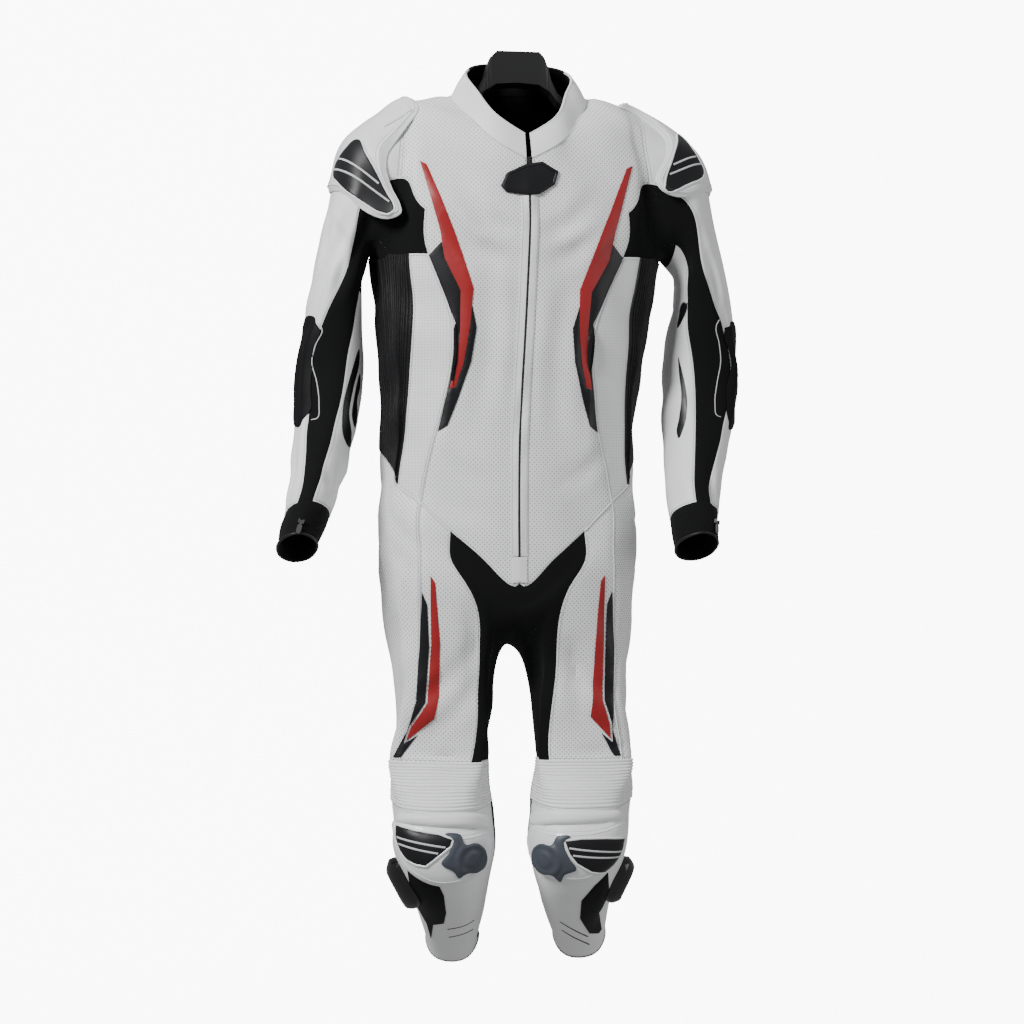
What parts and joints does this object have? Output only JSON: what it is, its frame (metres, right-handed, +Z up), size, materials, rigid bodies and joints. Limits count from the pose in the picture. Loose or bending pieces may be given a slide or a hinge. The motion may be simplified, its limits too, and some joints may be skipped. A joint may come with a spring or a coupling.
{
  "type": "motorcycle race suit on a hanger",
  "caption": "One-piece motorcycle race suit with moulded shoulder and knee cups, filled out and hanging from a broad moulded hanger.",
  "frame": {"origin": "centre of the flat seat on top of the hanger's neck block, where a rail hook holds it", "axes": "+Z up, the suit's front faces -Y, the wearer's left side is +X"},
  "size_m": [0.6625, 0.3166, 1.2898],
  "materials": {
    "white_leather": "coated, satin",
    "black_leather": "coated, satin",
    "red_leather": "coated, satin",
    "black_stretch": "woven stretch, matt",
    "grey_rubber": "matt",
    "slider_plastic": "polished",
    "hanger_plastic": "fine texture",
    "zip_metal": "plated",
    "zip_tape": "woven tape"
  },
  "bodies": {
    "suit": {"back_panel": "white_leather", "calf_stretch_l": "black_stretch", "calf_stretch_r": "black_stretch", "chest_flash_black_l": "black_leather", "chest_flash_black_r": "black_leather", "chest_flash_red_l": "red_leather", "chest_flash_red_r": "red_leather", "chest_stretch_l": "black_stretch", "chest_stretch_r": "black_stretch", "collar_back": "black_stretch", "collar_front_l": "white_leather", "collar_front_r": "white_leather", "cuff_l": "black_stretch", "cuff_r": "black_stretch", "cuff_slider_l": "zip_metal", "cuff_slider_r": "zip_metal", "elbow_pad_l": "black_leather", "elbow_pad_r": "black_leather", "front_panel_l": "white_leather", "front_panel_r": "white_leather", "hanger": "hanger_plastic", "inner_stretch": "black_stretch", "knee_band_l": "white_leather", "knee_band_r": "white_leather", "knee_cup_l": "white_leather", "knee_cup_r": "white_leather", "knee_roll_l": "white_leather", "knee_roll_r": "white_leather", "knee_rubber_l": "grey_rubber", "knee_rubber_r": "grey_rubber", "knee_shin_l": "white_leather", "knee_shin_r": "white_leather", "knee_slider_l": "slider_plastic", "knee_slider_r": "slider_plastic", "leg_front_l": "white_leather", "leg_front_r": "white_leather", "leg_side_l": "white_leather", "leg_side_r": "white_leather", "main_zip": "zip_tape", "shoulder_cup_l": "white_leather", "shoulder_cup_r": "white_leather", "side_rib_l": "black_stretch", "side_rib_r": "black_stretch", "side_strip_l": "white_leather", "side_strip_r": "white_leather", "sleeve_inner_l": "white_leather", "sleeve_inner_r": "white_leather", "sleeve_outer_l": "white_leather", "sleeve_outer_r": "white_leather", "sleeve_stretch_l": "black_stretch", "sleeve_stretch_r": "black_stretch", "thigh_flash_black_l": "black_leather", "thigh_flash_black_r": "black_leather", "thigh_flash_red_l": "red_leather", "thigh_flash_red_r": "red_leather", "throat_flap": "black_leather", "yoke_back": "black_stretch"},
    "pull_tab_l": {"cuff_pull_l": "zip_metal"},
    "pull_tab_r": {"cuff_pull_r": "zip_metal"}
  },
  "joints": [
    {"name": "pull_tab_swing_l", "type": "hinge", "parent": "suit", "child": "pull_tab_l", "pos_m": [0.25827, -0.12487, -0.65423], "axis": [-0.6685, -0.595, 0.4462], "range_deg": [0, 100]},
    {"name": "pull_tab_swing_r", "type": "hinge", "parent": "suit", "child": "pull_tab_r", "pos_m": [-0.30892, -0.13608, -0.65357], "axis": [-0.9595, 0.1065, 0.261], "range_deg": [0, 100]}
  ]
}
